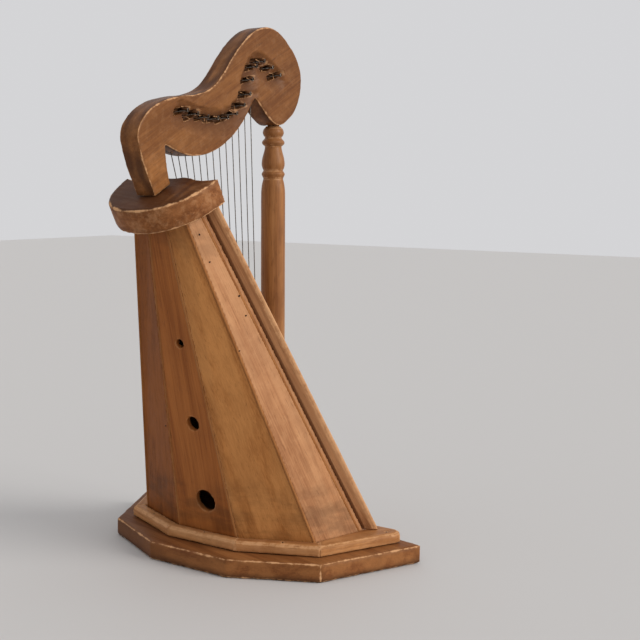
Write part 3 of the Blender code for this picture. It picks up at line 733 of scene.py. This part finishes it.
def smooth_path(points, steps=20):
    """Points close together on a smooth curve through the given ones."""
    points = [Vector(p) for p in points]
    padded = [2 * points[0] - points[1], *points, 2 * points[-1] - points[-2]]
    dense = []
    for p, q, r, s in zip(padded, padded[1:], padded[2:], padded[3:]):
        for step in range(steps):
            t = step / steps
            dense.append(0.5 * (2 * q + (r - p) * t + (2 * p - 5 * q + 4 * r - s) * t ** 2
                                + (3 * q - p - 3 * r + s) * t ** 3))
    return dense + [points[-1]]


trough_line = smooth_path(SLOT_PATH)
pins = [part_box(f"anchor_pin_{number:02d}") for number in range(1, 14)]
slot_run = Vector((cos(SLANT), 0.0, sin(SLANT)))
slot_centres = [(Vector(a) + Vector(b)) / 2 - slot_run * PIN_TO_MIDDLE for a, b in pins]
print("slots:", len(slot_centres))

# %% The hollow and the gouges
trough_tree = search_tree([Vector((p.x, 0.0, p.y)) * MM for p in trough_line])
TROUGH, GOUGE = 3.3, 6.2
RAMP_END, RAMP, HEEL_END, HEEL = 12.0, 8.0, 9.2, 1.3


def trough_depth(flat, ragged):
    """The crooked hollow along the slots, steep on its upper side and sloping on its lower side."""
    nearest, _, aside = trough_tree.find(flat)
    below = unit((nearest.z - flat.z) / MM / 6.0 + 0.5)
    reach = 8.5 + 6.0 * below + 2.0 * ragged
    return TROUGH * max(0.0, 1.0 - (aside / MM / reach) ** 2) ** 1.25


def slot_depth(flat, ragged, fine):
    """The gouged slots: a steep torn heel at the rear and a ramp that runs out at the front."""
    deepest = 0.0
    for index, centre in enumerate(slot_centres):
        offset = (flat - Vector((centre.x, 0.0, centre.z))) / MM
        if abs(offset.x) > 14.0 or abs(offset.z) > 8.0:
            continue
        lean = SLANT + 0.12 * sin(index * 1.7)
        along = offset.x * cos(lean) + offset.z * sin(lean)
        across = offset.z * cos(lean) - offset.x * sin(lean)
        half = 2.7 + 0.6 * ragged + 0.5 * sin(index * 2.1)
        ramp = unit((RAMP_END + 2.0 * ragged + sin(index * 3.3) - along) / RAMP)
        heel = unit((along + HEEL_END + 0.5 * fine + sin(index * 2.7)) / HEEL)
        wall = unit((half * (0.75 + 0.25 * ramp) - abs(across)) / 1.2)
        deepest = max(deepest, ramp * heel * wall)
    return deepest


print(f"hollow {TROUGH} mm and gouges {GOUGE} mm deep")

# %% Carving
SKIN = -5.2 * MM            # points beyond it are on the face, and the others are walls of a gouge
TROUGH_TINT = 0.02          # tells the finish that an arris in the hollow is not rubbed pale


def carve_neck(point, moved):
    """Sinks the right face to the gouges' floor; what lies at half depth moves half as far."""
    if point.y > 0.0:
        return moved, 0.0
    flat = Vector((point.x, 0.0, point.z))
    ragged = noise.noise(Vector((point.x * 110, 3.0, point.z * 260)))
    fine = noise.noise(Vector((point.x * 300, 9.0, point.z * 600)))
    slot = slot_depth(flat, ragged, fine)
    trough = trough_depth(flat, ragged)
    depth = max(trough, GOUGE * slot) + 0.3 * fine * min(slot * 3.0, 1.0)
    sunk = Vector((0.0, max(depth, 0.0) * min(point.y / FACE, 1.0) * MM, 0.0))
    tool = max(slot, TROUGH_TINT * min(trough, 1.0))
    # Walls of a gouge get four times the tool depth, so the finish paints them darker: painted shade
    return moved + sunk, tool if point.y < SKIN else min(tool * 4.0, 1.0)


def neck_stain_and_painted_shade(point, normal):
    """The edge all round is darker than the faces, and the right face is darker towards its top; the trough
    is painted darker by its depth, as painted shade in the hollow.
    """
    flat = Vector((point.x, 0.0, point.z))
    if normal.y < -0.7 and point.y < -8 * MM:
        upper = unit((point.z - 302 * MM) / (30 * MM))
        # Painted shade in the trough: darker where the hollow is deeper
        return 0.32 * upper + 0.5 * trough_depth(flat, noise.noise(flat * 200.0)) / TROUGH
    worn = noise.noise(Vector((point.x * 60.0, point.y * 160.0, point.z * 60.0)))
    return unit((0.75 - abs(normal.y)) / 0.3) * min(max(0.50 + 0.9 * worn, 0.1), 1.0)


neck_finish = stained_wood("neck_wood", (1, 0, 0.55), (88, 47, 19), (146, 93, 48), (166, 112, 62), 37.0,
                           fibre=0.65, bands=0.35, blotch=0.8, mottle=0.10, mottle_size=170.0, rub=0.8,
                           roughness=0.42, relief=0.35)
worked_board("neck", neck_finish, 0.65, 2.2, 0.55, 0.25, carve_neck, neck_stain_and_painted_shade)

# %% [markdown]
# ## Splinters
# The gouge tore the wood at each slot, and pale slivers still stand along the rims, two to a slot. They
# repeat without order, so Geometry Nodes put one thin cone on points along the rims, with a fixed seed for
# each sliver's size and lean. The same tree later sets the nails.

# %% Scattering
def scattered(name, finish, places, turns, radius, length, sides, spread, seed):
    """Cones of that radius and length on the places, turned as given and then at random within spread."""
    web = GeometryWeb(name)
    width = web.ask("Radius", "Float", radius)
    reach = web.ask("Length", "Float", length)
    fixed = web.ask("Seed", "Int", seed)
    cone = web.node("GeometryNodeMeshCone", {"fill_type": "NGON"}, {
        "Vertices": sides, "Radius Bottom": width, "Depth": reach}, out="Mesh")
    facing = web.node("GeometryNodeInputNamedAttribute", {"data_type": "FLOAT_VECTOR"}, {"Name": "facing"})
    towards = web.node("FunctionNodeAlignRotationToVector", {"axis": "Z"}, {"Vector": facing})
    lean = web.node("FunctionNodeRandomValue", {"data_type": "FLOAT_VECTOR"}, {
        "Min": (-spread,) * 3, "Max": (spread,) * 3, "Seed": fixed})
    turned_by = web.node("FunctionNodeRotateRotation", {"rotation_space": "LOCAL"}, {
        "Rotation": towards, "Rotate By": lean})
    size = web.node("FunctionNodeRandomValue", {"data_type": "FLOAT_VECTOR"}, {
        "Min": (0.6, 0.5, 0.45), "Max": (1.2, 1.0, 1.3), "Seed": fixed})
    stood = web.node("GeometryNodeInstanceOnPoints", None, {
        "Points": web.start, "Instance": cone, "Rotation": turned_by, "Scale": size})
    web.dress(stood, finish)
    points = bpy.data.meshes.new(name + "_points")
    points.from_pydata(places, [], [])
    spots = points.attributes.new("facing", "FLOAT_VECTOR", "POINT")
    spots.data.foreach_set("vector", [c for turn in turns for c in turn])
    return web.bake(name, points)


print("scattering tree ready")

# %% Slivers along the slots
SLIVER_SINK = 2.4 * MM
sliver_places, sliver_turns = [], []
for index, centre in enumerate(slot_centres):
    for k, side in enumerate((-1, 1)):
        share = (k * 0.618 + index * 0.37) % 1.0
        along = (-7.0 + 14.0 * share) * MM
        across = side * (2.3 + 0.8 * sin(k * 2.3 + index)) * MM
        spot = Vector((centre.x, FACE + SLIVER_SINK, centre.z)) + slot_run * along
        spot += Vector((-sin(SLANT), 0.0, cos(SLANT))) * across
        sliver_places.append(spot)
        sliver_turns.append((cos(SLANT) * side, -0.30, sin(SLANT) - 0.35 * side))
sliver_finish = stained_wood("sliver_wood", (1, 0, 0.2), (96, 54, 26), (140, 90, 50), (172, 124, 80), 61.0)
slivers = scattered("neck_slivers", sliver_finish, sliver_places, sliver_turns,
                    radius=0.36 * MM, length=5.0 * MM, sides=4, spread=0.35, seed=5)

# %% [markdown]
# ## Nails in the staves
# A few small nails hold the staves, punched in level with the wood, so that each shows as a dark dot.
# Every place is given once, for the right side, and mirrored. The scattering tree sets them as low cones
# that look along each stave's normal.

# %% Nail heads
NAILS = [("back_right", (-57.2, -26.7, 107.3)), ("side_right", (-55.7, -44.0, 212.7)),
         ("side_right", (-52.0, -47.3, 198.1)), ("side_right", (-77.0, -33.8, 238.2)),
         ("side_right", (-82.7, -29.1, 257.9)), ("side_right", (-61.5, -48.4, 173.1))]


def stave_normal(corners):
    """The outward direction of the plane through three corners, given in millimetres."""
    a, b, c = (Vector(corner) for corner in corners)
    normal = (b - a).cross(c - a).normalized()
    return normal if normal.y < 0 else -normal


front, second, third = ((x, -y, z) for x, y, z in FOOT_CORNERS)
_, second_head, third_head = ((x, -y, z) for x, y, z in HEAD_CORNERS)
NORMALS = {"side_right": stave_normal([front, second, second_head]),
           "back_right": stave_normal([second, third, third_head])}
nail_places, nail_turns = [], []
for stave, place in NAILS:
    for side in (1, -1):
        flip = Vector((1, side, 1))
        nail_places.append(Vector(place) * MM * flip)
        nail_turns.append(NORMALS[stave] * flip)
nail_finish, nail_web, nail_shader = new_finish("dark_nails", {
    "Base Color": (0.022, 0.011, 0.007, 1.0), "Metallic": 0.3})
nail_rust = nail_web.noise(nail_web.node("ShaderNodeTexCoord", None, None, out="Object"), 1500.0)
nail_web.send((nail_rust * 0.4 + 0.4).clamped(), nail_shader.inputs, "Roughness")
nails = scattered("stave_nails", nail_finish, nail_places, nail_turns,
                  radius=0.9 * MM, length=1.1 * MM, sides=12, spread=0.05, seed=3)

# %% [markdown]
# ## The column
# The column was turned on a lathe: rings, beads and a vase at the top, and a plain shaft below. A lathe's
# work is a profile spun round an axis, so the profile is smoothed and spun again in finer steps.

# %% The turned profile
PROFILE = [(340.0, 6.6), (338.5, 8.0), (335.7, 8.7), (333.4, 7.9), (332.0, 6.9), (330.6, 7.5), (329.0, 8.9),
           (327.4, 9.3), (325.9, 8.3), (324.4, 6.9), (320.0, 7.7), (315.0, 9.0), (310.5, 9.5), (307.6, 9.0),
           (305.4, 8.1), (304.2, 8.7), (302.3, 9.6), (300.4, 8.9), (298.6, 8.2), (296.0, 8.8), (292.5, 9.5),
           (288.0, 9.9), (285.0, 9.95)]
SHAFT_RADIUS, TENON_RADIUS = 10.0, 5.0
COLUMN_X = (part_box("column")[0][0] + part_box("column")[1][0]) / 2
print("column axis at", round(COLUMN_X / MM, 2), "mm")

# %% Spinning
def spun(profile, x, sides=72):
    """A closed surface spun from (height, radius) points in millimetres round an upright axis at x."""
    bm = bmesh.new()
    rings = []
    for height, radius in profile:
        ring = []
        for k in range(sides):
            turn = 2 * pi * k / sides
            spot = Vector((cos(turn) * radius, sin(turn) * radius, height)) * MM
            worn = 0.16 * (0.5 + 0.5 * noise.noise(spot * 60.0)) * MM
            spot.x, spot.y = (c * (1 - worn / (radius * MM + 1e-6)) for c in (spot.x, spot.y))
            ring.append(bm.verts.new(spot + Vector((x, 0, 0))))
        rings.append(ring)
    for a, b in zip(rings, rings[1:]):
        for k in range(sides):
            bm.faces.new((a[k], b[k], b[(k + 1) % sides], a[(k + 1) % sides]))
    bm.faces.new(rings[0])
    bm.faces.new(rings[-1][::-1])
    bmesh.ops.recalc_face_normals(bm, faces=bm.faces)
    mesh = bpy.data.meshes.new("column")
    bm.to_mesh(mesh)
    bm.free()
    return mesh


print("lathe ready")

# %% Column
turned = [(p.x, p.y) for p in smooth_path(PROFILE, 4)]
shaft = [(z, SHAFT_RADIUS) for z in range(280, 22, -6)]
foot_of_column = [(20.0, SHAFT_RADIUS), (17.5, 9.8), (15.4, 9.0), (15.3, TENON_RADIUS), (5.4, TENON_RADIUS)]
top_of_column = [(350.6, TENON_RADIUS), (340.9, TENON_RADIUS), (340.8, 6.2)]
column_mesh = spun(top_of_column + turned + shaft + foot_of_column, COLUMN_X)
hollows = search_tree([Vector((0, 0, z)) * MM for z in (332.0, 325.4, 305.4, 298.6, 339.9)])
from_hollow = [hollows.find(Vector((0, 0, v.co.z)))[2] / MM for v in column_mesh.vertices]
keep_attribute(column_mesh, "arris_mm", [min(2.4 + gap, FAR_FROM_ARRIS) for gap in from_hollow])
keep_attribute(column_mesh, "tool_depth", [0.38 * exp(-(gap / 0.9) ** 2) for gap in from_hollow])
column_finish = stained_wood("column_wood", (0, 0, 1), (98, 54, 24), (160, 107, 62), (180, 130, 84), 43.0,
                             blotch=0.8, bands=0.4, rub=0.3, roughness=0.36)
place_piece("column_turned", column_mesh, column_finish, ["column"])

# %% [markdown]
# ## The wires, pins and brads
# Thirteen plain steel wires run from the rib to the neck, each with a turn round a headless pin. The solids
# already have the shape of the wires, the pins and the brads, so these keep it and only take a dulled steel
# finish. The blocks and dowels inside the harp never met the stain, and they are bare wood.

# %% Steel
def dulled_steel(name, bright, dull, roughness):
    """Steel with dull spots; the tones are given as on a paint chart."""
    material, web, shader = new_finish(name, {"Metallic": 1.0})
    place = web.node("ShaderNodeTexCoord", None, None, out="Object")
    spots = web.noise(place, 900.0, 3.0, 0.6)
    colour = web.mix(web.step(spots, 0.42, 0.6), paint(*dull), paint(*bright))
    web.send(colour, shader.inputs, "Base Color")
    web.send((spots * 0.3 + (roughness - 0.15)).clamped(), shader.inputs, "Roughness")
    return material


wire_finish = dulled_steel("dulled_wire", (120, 112, 104), (70, 62, 54), 0.42)
pin_finish = dulled_steel("dulled_pins", (112, 86, 62), (58, 40, 28), 0.45)
hidden_finish = stained_wood("bare_wood", (0, 1, 0), (150, 112, 72), (196, 160, 112), (208, 174, 128), 50.0)
FINISHES = {"string_rib": None, "string": wire_finish, "anchor": pin_finish, "strip": pin_finish}


def finish_of(name):
    """The finish of a node that keeps its own mesh, or nothing if a worked piece stands for it."""
    if "dowel" in name or name.endswith("block"):
        return hidden_finish
    return next((finish for start, finish in FINISHES.items() if name.startswith(start)), None)


for name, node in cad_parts.items():
    if finish_of(name):
        node.data.materials.clear()
        node.data.materials.append(finish_of(name))
print("steel and hidden wood dressed")
